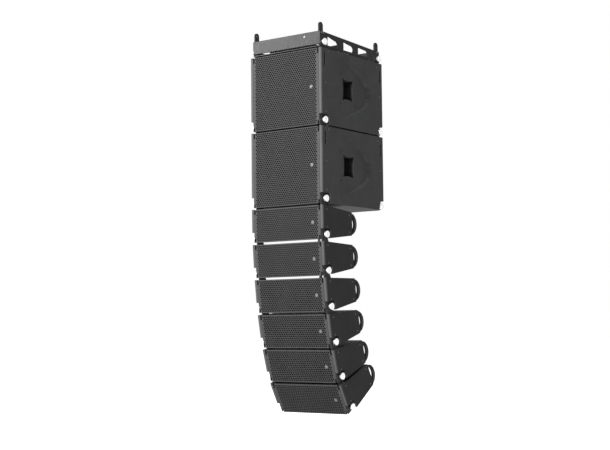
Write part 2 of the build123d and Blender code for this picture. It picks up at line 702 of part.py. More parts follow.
def lifting_lug(y, z):
    """A plate with a shackle hole, bolted inside a side plate."""
    half = LUG_HALF_WIDTH
    face = rectangle(y - half, y + half, z - LUG_FOOT_DROP, z) + disc(y, z, half)
    face -= disc(y, z, LUG_HOLE_RADIUS)
    return across(face, CHANNEL_OUT - LUG_THICKNESS, CHANNEL_OUT)


def lug_bolt(y, z):
    """A bolt through a side plate and a lug, with its hexagon head outside and its nut inside."""
    nut_in = CHANNEL_OUT - LUG_THICKNESS
    shank = across(disc(y, z, BOLT_RADIUS - 0.1), nut_in, FRAME_PLATE_OUT)
    hexagon = Pos(y, z) * RegularPolygon(1.5 * BOLT_RADIUS, 6)
    head = across(hexagon, FRAME_PLATE_OUT, FRAME_PLATE_OUT + 7)
    nut = across(hexagon, nut_in - 9, nut_in)
    return shank + head + nut


def front_bar():
    """The folded steel bar across the front: a web, two flanges and two end stiffeners."""
    low, high, sheet = FRAME_BAR_LOW, FRAME_BAR_HIGH, FRAME_BAR_SHEET
    front, back, rear = FRAME_BAR_Y, FRAME_BAR_Y + sheet, FRAME_BAR_Y + 60
    half = CHANNEL_OUT - LUG_THICKNESS - 12
    web = block(-FRAME_PLATE_OUT, FRAME_PLATE_OUT, front, back, low, high)
    bar = fillet(web.edges().filter_by(Axis.X).group_by(Axis.Y)[0], 4)
    bar += block(-half, half, back, rear, low, low + sheet)
    bar += block(-half, half, back, rear - 18, high - sheet, high)
    for stiffener in both_sides(block(half - 8, half, back, rear - 18, low + sheet, high - sheet)):
        bar += stiffener
    for x0, x1 in BAR_NOTCHES:
        bar -= block(x0, x1, back + 2, rear + 1, low - 1, low + sheet + 1)
    bar -= bar_hole(186, 107, 10)
    for x in (165, 205):
        bar -= bar_hole(x, 59, 4)
    return bar


def bar_hole(x, z, radius):
    return Pos(x, FRAME_BAR_Y, z) * Rot(90, 0, 0) * Cylinder(radius, 40)


def front_sill():
    """The flat plate under the front bar, welded between the side plates."""
    low, high = FRAME_BOTTOM, FRAME_BOTTOM + FRAME_BAR_SHEET
    side_front = FRAME_BAR_Y + FRAME_BAR_SHEET
    sill = block(-CHANNEL_OUT, CHANNEL_OUT, FRAME_BAR_Y, side_front + 2, low, high)
    return sill + block(6 - CHANNEL_IN, CHANNEL_IN - 6, side_front + 2, FRAME_BAR_Y + 74, low, high)


def cross_tube(y0, y1, low, high, wall):
    """A rectangular tube between the side plates, with welded end caps."""
    half = CHANNEL_OUT
    tube = block(-half, half, y0, y1, low, high)
    return tube - block(8 - half, half - 8, y0 + wall, y1 - wall, low + wall, high - wall)


def write_frame():
    pins = [(PIN_Y, FRAME_BOTTOM + PIN_RISE), (SUB_REAR_PIN_Y, FRAME_BOTTOM + REAR_PIN_RISE)]
    side = frame_side()
    lugs = [lifting_lug(y, z) for y, z in lug_holes()]
    bolts = []
    for y, z in lug_bolt_points():
        hole = across(disc(y, z, BOLT_RADIUS), 0, HALF)
        side -= hole
        lugs = [lug - hole for lug in lugs]
        bolts.extend(both_sides(lug_bolt(y, z)))
    sides = both_sides(side)
    for pin in pins:
        sides.extend(both_sides(frame_collar(*pin)))
    tubes = [cross_tube(*REAR_BAR_Y, 30, 88, 5), cross_tube(*MID_BAR_Y, 30, 70, 5)]
    write("frame_side_plates", sides, FRONT)
    write("frame_front_bar", [front_bar(), front_sill()], FRONT)
    write("frame_cross_tubes", tubes, FRONT)
    write("frame_lifting_lugs", both_sides(lugs[0]) + both_sides(lugs[1]), FRONT)
    write("frame_bolts", bolts, FRONT)
    write_knobs("frame", pins, FRONT)


# ---- The array -------------------------------------------------------------------------
os.makedirs("parts", exist_ok=True)
write_frame()
for sub_index in range(2):
    write_sub(sub_index)
for module_index, module_place in enumerate(module_places()):
    write_module(module_index, module_place)
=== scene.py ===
import bpy
import json
import math
from mathutils import Matrix, Vector


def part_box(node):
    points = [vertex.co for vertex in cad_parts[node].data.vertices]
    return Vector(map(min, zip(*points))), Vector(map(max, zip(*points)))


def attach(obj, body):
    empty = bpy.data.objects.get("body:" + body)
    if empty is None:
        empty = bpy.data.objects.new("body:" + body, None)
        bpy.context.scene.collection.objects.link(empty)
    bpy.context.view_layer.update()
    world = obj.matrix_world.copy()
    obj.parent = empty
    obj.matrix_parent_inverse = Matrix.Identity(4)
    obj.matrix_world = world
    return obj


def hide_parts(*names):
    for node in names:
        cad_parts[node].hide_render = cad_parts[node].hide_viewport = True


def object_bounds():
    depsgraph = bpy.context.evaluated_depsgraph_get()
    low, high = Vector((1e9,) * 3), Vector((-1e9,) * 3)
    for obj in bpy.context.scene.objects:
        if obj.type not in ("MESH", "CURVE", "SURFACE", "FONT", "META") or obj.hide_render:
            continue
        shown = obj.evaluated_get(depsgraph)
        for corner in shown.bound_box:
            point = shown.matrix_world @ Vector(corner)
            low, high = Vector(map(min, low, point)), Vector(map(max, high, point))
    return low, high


# Visual model of a flown line array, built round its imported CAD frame. Metres, +Z up, grilles face -Y.
# Pieces are laid out in millimetres in cabinet space: x across, y back from the front face, z up from the
# top front edge. Each cabinet's place puts that space into the row frame.

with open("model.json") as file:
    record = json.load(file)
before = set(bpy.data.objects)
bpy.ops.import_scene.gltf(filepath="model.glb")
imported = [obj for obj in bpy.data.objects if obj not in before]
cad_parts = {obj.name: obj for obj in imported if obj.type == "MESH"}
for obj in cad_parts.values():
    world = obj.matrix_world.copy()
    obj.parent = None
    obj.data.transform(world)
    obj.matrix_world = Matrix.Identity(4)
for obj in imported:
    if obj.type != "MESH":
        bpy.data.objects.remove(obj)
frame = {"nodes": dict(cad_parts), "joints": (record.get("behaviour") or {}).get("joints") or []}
bpy.context.view_layer.update()
cad_low, cad_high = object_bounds()

MM = 0.001
ROOT = "frame_and_bass_cabinets"
SUBS = ("sub_1", "sub_2")
MODULES = tuple(f"module_{n}" for n in range(1, 7))

# ---- Dimensions shared with the CAD model, in millimetres ------------------------------
HALF_WIDTH = 365.0
SUB_HEIGHT = 621.0
SUB_DEPTH = 883.0
MODULE_HEIGHT = 275.0
MODULE_DEPTH = 400.0
PIN_Y = 58.0
PIN_RISE = 41.0
GAP = 12.0
REAR_PIN_Y = 859.0
REAR_PIN_RISE = 32.0
FRAME_BOTTOM = 12.0


# ---- Places ----------------------------------------------------------------------------
def sub_place(name):
    """A bass cabinet's place, read from its CAD box."""
    low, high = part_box(f"{name}_cabinet")
    return Matrix.Translation((0, low.y, high.z))


def module_places():
    """Each module's place, from the hinge it hangs on and the splays added up from the top."""
    places = {}
    angle = 0.0
    joints = {joint["name"]: joint for joint in frame["joints"]}
    to_corner = Matrix.Translation((0, -PIN_Y * MM, -(PIN_RISE + GAP) * MM))
    for number, name in enumerate(MODULES, 1):
        joint = joints[f"splay_{number}"]
        angle -= math.radians(joint["range_deg"][0])
        turn = Matrix.Rotation(angle, 4, "X")
        places[name] = Matrix.Translation(joint["pos_m"]) @ turn @ to_corner
    return places


PLACES = {name: sub_place(name) for name in SUBS}
PLACES.update(module_places())
PLACES["frame"] = PLACES["sub_1"]
BODY = {name: name for name in MODULES}
BODY.update({name: ROOT for name in SUBS + ("frame",)})
HEIGHT = {name: SUB_HEIGHT for name in SUBS}
HEIGHT.update({name: MODULE_HEIGHT for name in MODULES})


# ---- Node-tree helpers -----------------------------------------------------------------
class Recipe:
    """A material's node tree, with one method for each kind of node used here."""

    def __init__(self, name):
        self.material = bpy.data.materials.new(name)
        self.material.use_nodes = True
        self.tree = self.material.node_tree
        self.shader = self.tree.nodes["Principled BSDF"]
        self.where = self.tree.nodes.new("ShaderNodeTexCoord").outputs["Object"]

    def link(self, value, socket):
        """Feeds a socket from another one, or sets it to a plain value."""
        if isinstance(value, bpy.types.NodeSocket):
            self.tree.links.new(value, socket)
        else:
            socket.default_value = value

    def noise(self, scale, detail=4.0, roughness=0.55, stretch=None):
        """Fractal noise of that many lumps a metre, optionally stretched by a scale for each axis."""
        node = self.tree.nodes.new("ShaderNodeTexNoise")
        node.inputs["Scale"].default_value = scale
        node.inputs["Detail"].default_value = detail
        node.inputs["Roughness"].default_value = roughness
        where = self.where
        if stretch:
            mapping = self.tree.nodes.new("ShaderNodeMapping")
            mapping.inputs["Scale"].default_value = stretch
            self.link(where, mapping.inputs["Vector"])
            where = mapping.outputs["Vector"]
        self.link(where, node.inputs["Vector"])
        return node.outputs["Fac"]

    def cells(self, scale):
        """Voronoi distance, for grit, pores and leathery grain."""
        node = self.tree.nodes.new("ShaderNodeTexVoronoi")
        node.feature = "F1"
        node.inputs["Scale"].default_value = scale
        self.link(self.where, node.inputs["Vector"])
        return node.outputs["Distance"]

    def ramp(self, value, low, high, out_low=0.0, out_high=1.0):
        """A value mapped from one range to another, and held at its ends."""
        node = self.tree.nodes.new("ShaderNodeMapRange")
        self.link(value, node.inputs["Value"])
        settings = (("From Min", low), ("From Max", high), ("To Min", out_low), ("To Max", out_high))
        for socket, number in settings:
            node.inputs[socket].default_value = number
        return node.outputs["Result"]

    def maths(self, operation, first, second=0.0):
        node = self.tree.nodes.new("ShaderNodeMath")
        node.operation = operation
        self.link(first, node.inputs[0])
        self.link(second, node.inputs[1])
        return node.outputs["Value"]

    def mix(self, factor, first, second):
        """Two colours mixed by a factor."""
        node = self.tree.nodes.new("ShaderNodeMix")
        node.data_type = "RGBA"
        self.link(factor, node.inputs["Factor"])
        self.link(first, node.inputs[6])
        self.link(second, node.inputs[7])
        return node.outputs[2]

    def edges(self, radius, low=0.05, high=0.35):
        """1 on sharp edges within a radius in metres, broken up by noise, and 0 elsewhere."""
        bevel = self.tree.nodes.new("ShaderNodeBevel")
        bevel.samples = 6
        bevel.inputs["Radius"].default_value = radius
        geometry = self.tree.nodes.new("ShaderNodeNewGeometry")
        dot = self.tree.nodes.new("ShaderNodeVectorMath")
        dot.operation = "DOT_PRODUCT"
        self.link(bevel.outputs["Normal"], dot.inputs[0])
        self.link(geometry.outputs["Normal"], dot.inputs[1])
        bend = self.maths("SUBTRACT", 1.0, dot.outputs["Value"])
        patchy = self.ramp(self.noise(60.0, 6.0, 0.7), 0.42, 0.68)
        return self.ramp(self.maths("MULTIPLY", bend, patchy), low, high)

    def painted_light_front_mask(self):
        """1 on faces that look to the front, and 0 on those that look to the side or back: the mask for
        light painted onto front faces.
        """
        split = self.tree.nodes.new("ShaderNodeSeparateXYZ")
        geometry = self.tree.nodes.new("ShaderNodeNewGeometry")
        self.link(geometry.outputs["Normal"], split.inputs["Vector"])
        return self.ramp(split.outputs["Y"], -0.80, -0.60, 1.0, 0.0)

    def bump(self, *layers):
        """Bump from (height, distance in metres) layers, one over the other."""
        normal = None
        for height, distance in layers:
            node = self.tree.nodes.new("ShaderNodeBump")
            node.inputs["Distance"].default_value = distance
            self.link(height, node.inputs["Height"])
            if normal:
                self.link(normal, node.inputs["Normal"])
            normal = node.outputs["Normal"]
        return normal

    def finish(self, colour, roughness, normal, metallic=0.0, specular=0.5):
        """Connects the shader. The specular level is the same all over, so it is set on its own socket."""
        self.link(colour, self.shader.inputs["Base Color"])
        self.link(roughness, self.shader.inputs["Roughness"])
        self.link(metallic, self.shader.inputs["Metallic"])
        self.link(normal, self.shader.inputs["Normal"])
        self.shader.inputs["Specular IOR Level"].default_value = specular
        return self.material


def grey(level, warmth=0.0):
    """A linear colour of that level, slightly warm or cool."""
    return (level * (1 + warmth), level, level * (1 - warmth), 1.0)


# ---- Materials -------------------------------------------------------------------------
PAINTED_FRONT_LIGHT_LEVEL = 0.034        # painted light: grey painted on the cabinets' front-facing faces, lighter than their sides as though lit from the front


def cabinet_paint(name, level, grit_scale, grit_height, specular):
    """Structured black paint with grit, flecks and wear, plus painted light: faces that look to the front
    are greyer, as though lit from the front.
    """
    r = Recipe(name)
    grit = r.noise(grit_scale, 3.0, 0.6)
    fleck = r.ramp(r.noise(grit_scale * 0.6, 2.0, 0.5), 0.56, 0.70)
    cloud = r.noise(5.0, 5.0, 0.6)
    rubs = r.ramp(r.noise(9.0, 8.0, 0.75, (1.0, 0.25, 1.0)), 0.60, 0.78)
    base = r.mix(r.ramp(cloud, 0.35, 0.65), grey(level * 0.86, -0.01), grey(level * 1.12, -0.01))
    base = r.mix(r.maths("MULTIPLY", fleck, 0.5), base, grey(level * 2.6))
    base = r.mix(r.maths("MULTIPLY", rubs, 0.25), base, grey(level * 2.2))
    # Painted light: front-facing faces get a lighter grey, standing in for light falling from the front.
    painted_front_light = r.mix(cloud, grey(PAINTED_FRONT_LIGHT_LEVEL * 0.8), grey(PAINTED_FRONT_LIGHT_LEVEL * 1.2))
    base = r.mix(r.painted_light_front_mask(), base, painted_front_light)
    worn = r.edges(0.0015)
    base = r.mix(r.maths("MULTIPLY", worn, 0.5), base, grey(level * 4.0))
    rough = r.ramp(grit, 0.3, 0.7, 0.52, 0.74)
    normal = r.bump((grit, grit_height), (cloud, 0.0004))
    return r.finish(base, rough, normal, specular=specular)


def powder_coat(name, level, roughness, bare, specular):
    """Powder-coated steel: orange peel, fine scratches, and metal showing at rubbed edges."""
    r = Recipe(name)
    peel = r.noise(420.0, 2.0, 0.5)
    smear = r.noise(7.0, 6.0, 0.65)
    scratch = r.ramp(r.noise(45.0, 9.0, 0.8, (0.4, 3.0, 3.0)), 0.66, 0.74)
    worn = r.edges(0.0012, 0.04, 0.25)
    base = r.mix(r.ramp(smear, 0.35, 0.65), grey(level * 0.88), grey(level * 1.12))
    base = r.mix(r.maths("MULTIPLY", scratch, 0.35), base, grey(level * 2.2))
    base = r.mix(r.maths("MULTIPLY", worn, 0.75), base, grey(bare, 0.02))
    rough = r.ramp(smear, 0.3, 0.7, roughness - 0.07, roughness + 0.09)
    normal = r.bump((peel, 0.00012), (smear, 0.0004))
    return r.finish(base, rough, normal, metallic=r.maths("MULTIPLY", worn, 0.5), specular=specular)


def turned_steel():
    """Satin turned steel: close rings round the knob's axis, with faint handling smears."""
    r = Recipe("knob_steel")
    rings = r.noise(900.0, 2.0, 0.5, (1.0, 0.12, 0.12))
    smear = r.noise(40.0, 5.0, 0.6)
    base = r.mix(r.ramp(smear, 0.35, 0.7), grey(0.86, 0.005), grey(0.70, 0.01))
    rough = r.ramp(smear, 0.3, 0.7, 0.26, 0.44)
    return r.finish(base, rough, r.bump((rings, 0.00005)), metallic=0.9)


def black_zinc():
    """Dark plated bolts and screws."""
    r = Recipe("black_zinc")
    spots = r.noise(160.0, 4.0, 0.6)
    base = r.mix(spots, grey(0.05), grey(0.11, 0.03))
    rough = r.ramp(spots, 0.3, 0.7, 0.30, 0.48)
    return r.finish(base, rough, r.bump((r.noise(700.0), 0.00006)), metallic=0.75)


def panel_screw():
    """Dull plated screws at the panel edges."""
    r = Recipe("panel_screw_steel")
    spots = r.noise(220.0, 4.0, 0.6)
    base = r.mix(spots, grey(0.07), grey(0.12, 0.01))
    rough = r.ramp(spots, 0.3, 0.7, 0.28, 0.46)
    return r.finish(base, rough, r.bump((r.noise(800.0), 0.00005)), metallic=0.6)


def moulded_plastic():
    """Black moulded plastic with a leathery mould grain."""
    level = 0.008
    r = Recipe("handle_plastic")
    grain = r.cells(420.0)
    cloud = r.noise(14.0, 5.0)
    base = r.mix(r.ramp(cloud, 0.35, 0.65), grey(level * 0.85), grey(level * 1.3))
    rough = r.ramp(grain, 0.1, 0.7, 0.44, 0.62)
    return r.finish(base, rough, r.bump((grain, 0.00016), (cloud, 0.0003)), specular=0.25)


def acoustic_foam():
    """Open-cell black foam behind the perforation."""
    r = Recipe("acoustic_foam")
    pores = r.cells(520.0)
    clumps = r.noise(60.0, 6.0, 0.7)
    base = r.mix(r.ramp(pores, 0.2, 0.7), grey(0.0006), grey(0.002))
    rough = r.ramp(clumps, 0.3, 0.7, 0.88, 1.0)
    return r.finish(base, rough, r.bump((pores, 0.0008), (clumps, 0.001)), specular=0.0)


def rubber():
    """Matt black rubber with dust in its grain."""
    r = Recipe("skid_rubber")
    dust = r.noise(90.0, 6.0, 0.7)
    base = r.mix(r.ramp(dust, 0.45, 0.7), grey(0.018), grey(0.045, 0.02))
    return r.finish(base, r.ramp(dust, 0.3, 0.7, 0.70, 0.86), r.bump((r.cells(700.0), 0.0001)))


def anodised():
    """Black anodised aluminium, brushed along X."""
    r = Recipe("connector_plate")
    brush = r.noise(700.0, 3.0, 0.6, (0.02, 1.0, 1.0))
    smear = r.noise(18.0, 5.0)
    base = r.mix(brush, grey(0.030), grey(0.052))
    rough = r.ramp(smear, 0.3, 0.7, 0.32, 0.46)
    return r.finish(base, rough, r.bump((brush, 0.00004)), metallic=0.6)


def weld_metal():
    """Painted weld bead."""
    r = Recipe("weld_bead")
    ripple = r.noise(350.0, 4.0, 0.6)
    base = r.mix(ripple, grey(0.035), grey(0.07))
    return r.finish(base, r.ramp(ripple, 0.3, 0.7, 0.38, 0.55), r.bump((ripple, 0.0002)))


def brushed_badge():
    """Dark brushed metal of the blank badges."""
    r = Recipe("badge_metal")
    brush = r.noise(900.0, 3.0, 0.6, (0.04, 1.0, 1.0))
    base = r.mix(brush, grey(0.045), grey(0.07))
    return r.finish(base, r.ramp(brush, 0.3, 0.7, 0.30, 0.42), r.bump((brush, 0.00004)), metallic=0.2)


MATERIAL = {
    "sub_paint": cabinet_paint("cabinet_paint_sub", 0.018, 330.0, 0.0007, 0.13),
    "module_paint": cabinet_paint("cabinet_paint_module", 0.010, 420.0, 0.0004, 0.09),
    "grille": powder_coat("grille_steel", 0.019, 0.60, bare=0.05, specular=0.16),
    "bar": powder_coat("front_bar_steel", 0.012, 0.36, bare=0.04, specular=0.24),
    "frame": powder_coat("frame_steel", 0.006, 0.56, bare=0.03, specular=0.15),
    "rigging": powder_coat("rigging_steel", 0.010, 0.50, bare=0.05, specular=0.25),
    "knob": turned_steel(),
    "zinc": black_zinc(),
    "screw": panel_screw(),
    "plastic": moulded_plastic(),
    "foam": acoustic_foam(),
    "rubber": rubber(),
    "anodised": anodised(),
    "weld": weld_metal(),
    "badge": brushed_badge(),
}


# ---- Mesh helpers ----------------------------------------------------------------------
class Shell:
    """A mesh under construction, in millimetres. Points that coincide become one vertex."""

    def __init__(self):
        self.points = []
        self.faces = []
        self.index = {}

    def vertex(self, point):
        key = tuple(round(value, 3) for value in point)
        if key not in self.index:
            self.index[key] = len(self.points)
            self.points.append(key)
        return self.index[key]

    def face(self, *points):
        """One face, unless it has shrunk to a line."""
        corners = []
        for point in points:
            number = self.vertex(point)
            if number not in corners:
                corners.append(number)
        if len(corners) > 2:
            self.faces.append(corners)

    def add(self, other, move=Matrix.Identity(4)):
        """Copies another shell in, moved by a matrix in millimetres."""
        start = len(self.points)
        flip = move.determinant() < 0
        for point in other.points:
            self.points.append(tuple(move @ Vector(point)))
        for face in other.faces:
            moved = [start + number for number in face]
            self.faces.append(moved[::-1] if flip else moved)

    def mesh(self, name, material, smooth_angle):
        mesh = bpy.data.meshes.new(name)
        mesh.from_pydata([[value * MM for value in point] for point in self.points], [], self.faces)
        mesh.materials.append(MATERIAL[material])
        mesh.validate()
        if smooth_angle:
            mesh.shade_smooth()
            mesh.set_sharp_from_angle(angle=math.radians(smooth_angle))
        return mesh


def piece(name, mesh, cabinet, body=None, stands_for=()):
    """A piece in a cabinet's place, riding on its body and hiding the CAD nodes it stands for."""
    made = bpy.data.objects.new(name, mesh)
    bpy.context.scene.collection.objects.link(made)
    made.matrix_world = PLACES[cabinet]
    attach(made, body or BODY[cabinet])
    if stands_for:
        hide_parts(*stands_for)
    return made


def shift(x=0.0, y=0.0, z=0.0):
    return Matrix.Translation((x, y, z))


MIRROR = Matrix.Diagonal((-1, 1, 1, 1))


def hexagon(angle):
    """Radius factor that turns a circle into a hexagon of the same corner radius."""
    turn = (angle % (math.pi / 3)) - math.pi / 6
    return math.cos(math.pi / 6) / math.cos(turn)


def knurl(angle):
    """Radius factor of a fluted grip."""
    return 1 - 0.014 * (1 - math.cos(32 * angle))


def turned(rings, segments):
    """A shell turned about the X axis from (x, radius, shape) rings, where shape bends the circle."""
    made = Shell()
    loops = []
    for x, radius, *shape in rings:
        loop = []
        for step in range(segments):
            angle = 2 * math.pi * step / segments
            reach = radius * (shape[0](angle) if shape else 1.0)
            loop.append((x, reach * math.cos(angle), reach * math.sin(angle)))
        loops.append(loop)
    for first, second in zip(loops, loops[1:]):
        for step in range(segments):
            after = (step + 1) % segments
            made.face(first[step], first[after], second[after], second[step])
    return made


def arc(x, radius, turn_radius, start, end, steps):
    """Ring positions along a quarter or other round in the (x, radius) half-plane."""
    rings = []
    for step in range(steps + 1):
        angle = math.radians(start + (end - start) * step / steps)
        rings.append((x + turn_radius * math.cos(angle), radius + turn_radius * math.sin(angle)))
    return rings


# ---- Perforated grilles ----------------------------------------------------------------
PITCH = 19.2                    # between holes in a row
ROW = 16.0                      # between rows
HOLE = 7.5                      # hole radius
FIELD = 314.0                   # half width of the perforated field
SHEET = 2.0
GRILLE_HALF = 335.2
LIP_HALF = 317.5
NOTCH = (319.0, 334.0)
LIP_END = 11.0


def hole_ring(x, z):
    """Sixteen points round a hole."""
    ring = []
    for step in range(16):
        angle = math.radians(22.5 * step)
        ring.append((x + HOLE * math.cos(angle), z + HOLE * math.sin(angle)))
    return ring


def cell_border(x, z, half_x, half_z):
    """Eight points round a cell, anticlockwise from its right-hand middle."""
    steps = ((1, 0), (1, 1), (0, 1), (-1, 1), (-1, 0), (-1, -1), (0, -1), (1, -1))
    return [(x + a * half_x, z + b * half_z) for a, b in steps]


def front_and_back(shell, corners):
    """A patch of the sheet's front face and the same patch of its back face."""
    shell.face(*[(x, 0.0, z) for x, z in corners])
    shell.face(*[(x, SHEET, z) for x, z in reversed(corners)])


def wall(shell, start, end, y_front=0.0, y_back=SHEET):
    """A strip of cut edge between the front and the back face."""
    (x0, z0), (x1, z1) = start, end
    shell.face((x0, y_front, z0), (x0, y_back, z0), (x1, y_back, z1), (x1, y_front, z1))


def perforated_cell(shell, x, z, half_x, half_z):
    ring = hole_ring(x, z)
    border = cell_border(x, z, half_x, half_z)
    for sector in range(8):
        inner = [ring[2 * sector], ring[2 * sector + 1], ring[(2 * sector + 2) % 16]]
        outer = [border[sector], border[(sector + 1) % 8]]
        front_and_back(shell, [outer[0], outer[1]] + inner[::-1])
    for step in range(16):
        wall(shell, ring[step], ring[(step + 1) % 16])


def blank_cell(shell, x0, x1, z, half_z):
    """The solid half cell that ends an offset row."""
    corners = [(x0, z - half_z), (x1, z - half_z), (x1, z), (x1, z + half_z), (x0, z + half_z), (x0, z)]
    front_and_back(shell, corners)


def perforated_field(shell, top, rows):
    """Staggered rows of holes between the side borders. Returns the levels of the row edges."""
    columns = round(2 * FIELD / PITCH)
    half_x = FIELD / columns
    half_z = ROW / 2
    for row in range(rows):
        z = top - half_z - row * ROW
        offset = row % 2
        for column in range(columns - offset):
            x = -FIELD + (2 * column + 1 + offset) * half_x
            perforated_cell(shell, x, z, half_x, half_z)
        if offset:
            blank_cell(shell, -FIELD, -FIELD + half_x, z, half_z)
            blank_cell(shell, FIELD - half_x, FIELD, z, half_z)
    columns_x = [-FIELD + step * half_x for step in range(2 * columns + 1)]
    levels = [top - step * half_z for step in range(2 * rows + 1)]
    return columns_x, levels


def grille_shell(height):
    """A perforated tray with plain borders, notched corners and folded lips at top and bottom."""
    shell = Shell()
    rows = int((height - 4) // ROW)
    margin = (height - 2 - rows * ROW) / 2
    top, low = -1 - margin, 1 - height + margin
    columns, levels = perforated_field(shell, top, rows)
    upper_notch = min(levels, key=lambda z: abs(z + 45))
    lower_notch = min(levels, key=lambda z: abs(z - (30 - height)))
    edge_top, edge_low = -1.0, 1 - height
    strips = ((FIELD, LIP_HALF), (LIP_HALF, NOTCH[0]), NOTCH, (NOTCH[1], GRILLE_HALF))
    heights = [edge_top, edge_top - SHEET, *levels, edge_low + SHEET, edge_low]
    for side in (1, -1):
        for x0, x1 in strips:
            for z1, z0 in zip(heights, heights[1:]):
                if (x0, x1) == NOTCH and not lower_notch <= (z0 + z1) / 2 <= upper_notch:
                    continue
                if x0 < LIP_HALF and (z1 == edge_top or z0 == edge_low):
                    continue
                left, right = sorted((side * x0, side * x1))
                front_and_back(shell, [(left, z0), (right, z0), (right, z1), (left, z1)])
    grille_edges(shell, heights, upper_notch, lower_notch)
    lip_xs = [-LIP_HALF, *columns, LIP_HALF]
    for edge, inwards, rim in ((edge_top, -1, top), (edge_low, 1, low)):
        folded_lip(shell, lip_xs, edge, inwards, rim)
    return shell


def grille_edges(shell, heights, upper_notch, lower_notch):
    """Cut edges round the outside of the side borders and their notches."""
    edge_top, edge_low = heights[0], heights[-1]
    inner, outer = NOTCH
    for side in (1, -1):
        runs = [
            [(LIP_HALF, edge_top - SHEET), (LIP_HALF, edge_top), (inner, edge_top)],
            [(outer, edge_top), (GRILLE_HALF, edge_top)],
            [(GRILLE_HALF, z) for z in heights],
            [(GRILLE_HALF, edge_low), (outer, edge_low)],
            [(inner, edge_low), (LIP_HALF, edge_low), (LIP_HALF, edge_low + SHEET)],
            [(inner, z) for z in heights if z >= upper_notch - 0.01],
            [(inner, upper_notch), (outer, upper_notch)],
            [(outer, z) for z in reversed(heights) if z >= upper_notch - 0.01],
            [(outer, z) for z in reversed(heights) if z <= lower_notch + 0.01],
            [(outer, lower_notch), (inner, lower_notch)],
            [(inner, z) for z in heights if z <= lower_notch + 0.01],
        ]
        for run in runs:
            points = [(side * x, z) for x, z in run]
            if side > 0:
                points.reverse()
            for start, end in zip(points, points[1:]):
                wall(shell, end, start)


def folded_lip(shell, xs, edge, inwards, rim):
    """The sheet turned back round a small bend into a lip, between the side borders."""
    bend = edge + inwards * SHEET
    outer = [(0.0, rim), (0.0, bend)]
    for step in (1, 2, 3):
        angle = math.radians(30 * step)
        outer.append((SHEET - SHEET * math.cos(angle), bend - inwards * SHEET * math.sin(angle)))
    outer.append((LIP_END, edge))
    inner = [(SHEET, rim), (SHEET, bend), (LIP_END, bend)]
    for path, turned_over in ((outer, inwards > 0), (inner, inwards < 0)):
        for x0, x1 in zip(xs, xs[1:]):
            for (y0, z0), (y1, z1) in zip(path, path[1:]):
                corners = [(x0, y0, z0), (x1, y0, z0), (x1, y1, z1), (x0, y1, z1)]
                shell.face(*(corners[::-1] if turned_over else corners))
    for x0, x1 in zip(xs, xs[1:]):
        corners = [(x0, LIP_END, edge), (x1, LIP_END, edge), (x1, LIP_END, bend), (x0, LIP_END, bend)]
        shell.face(*(corners[::-1] if inwards > 0 else corners))
    for x in (xs[0], xs[-1]):
        section = [(x, y, z) for y, z in outer[1:]] + [(x, LIP_END, bend), (x, SHEET, bend)]
        shell.face(*(section if (x > 0) == (inwards < 0) else section[::-1]))


def build_grilles():
    meshes = {}
    for name in SUBS + MODULES:
        height = HEIGHT[name]
        if height not in meshes:
            meshes[height] = grille_shell(height).mesh(f"grille_{height:.0f}", "grille", 40)
        piece(f"{name}_perforated_grille", meshes[height], name,
              stands_for=[f"{name}_grille"])


# ---- Pull knobs ------------------------------------------------------------------------
def knob_shell():
    """A flanged knob with a grooved hub, a fluted rim and a dimpled face, on a pin with a tapered tip."""
    rings = [(318.3, 0.0), (318.3, 5.2), *arc(320.0, 6.3, 1.7, 180, 90, 4), (343.0, 8.0), (343.0, 20.6)]
    rings += arc(344.4, 20.6, 1.4, 180, 90, 4)
    for groove in (346.3, 350.0):
        rings += [(groove, 22.0), (groove + 0.5, 21.3), (groove + 1.2, 21.3), (groove + 1.7, 22.0)]
    rings += [(354.4, 22.0), *arc(354.4, 23.4, 1.4, 270, 350, 4), (356.0, 25.6)]
    rings += [(x, r, knurl) for x, r in arc(357.8, 26.2, 1.8, 180, 90, 4)]
    rings += [(x, r, knurl) for x, r in arc(362.8, 26.0, 2.0, 90, 20, 4)]
    rings += [(364.9, 24.4), (364.9, 18.6), (364.3, 18.0), (364.3, 17.0), (364.9, 16.4), (364.9, 8.2)]
    rings += [*arc(364.2, 7.6, 0.7, 60, -30, 3), (362.4, 6.6), (362.1, 4.6)]
    rings += [(362.1, 3.4, hexagon), (359.8, 3.3, hexagon), (359.4, 0.0)]
    return turned(rings, 96)


def build_knobs():
    one = knob_shell()
    front_sub = (PIN_Y, PIN_RISE - SUB_HEIGHT)
    rear_sub = (REAR_PIN_Y, REAR_PIN_RISE - SUB_HEIGHT)
    points = {name: [front_sub, rear_sub] for name in SUBS}
    points["frame"] = [(PIN_Y, FRAME_BOTTOM + PIN_RISE), (REAR_PIN_Y, FRAME_BOTTOM + REAR_PIN_RISE)]
    points.update({name: [(PIN_Y, PIN_RISE - MODULE_HEIGHT)] for name in MODULES})
    for cabinet, places in points.items():
        for side, flip in (("right", Matrix.Identity(4)), ("left", MIRROR)):
            shell = Shell()
            for y, z in places:
                shell.add(one, flip @ shift(0, y, z))
            body = f"{cabinet}_knob_{side}"
            mesh = shell.mesh(f"{body}_turned", "knob", 35)
            piece(f"{body}_turned", mesh, cabinet, body, [body])


# ---- Foam and badges -------------------------------------------------------------------
FOAM_FRONT = 2.6
FOAM_BACK = 10.4
FOAM_HALF = 315.0
FOAM_MARGIN = 4.0
BADGE = (260.0, 14.5)           # how far off centre, and radius


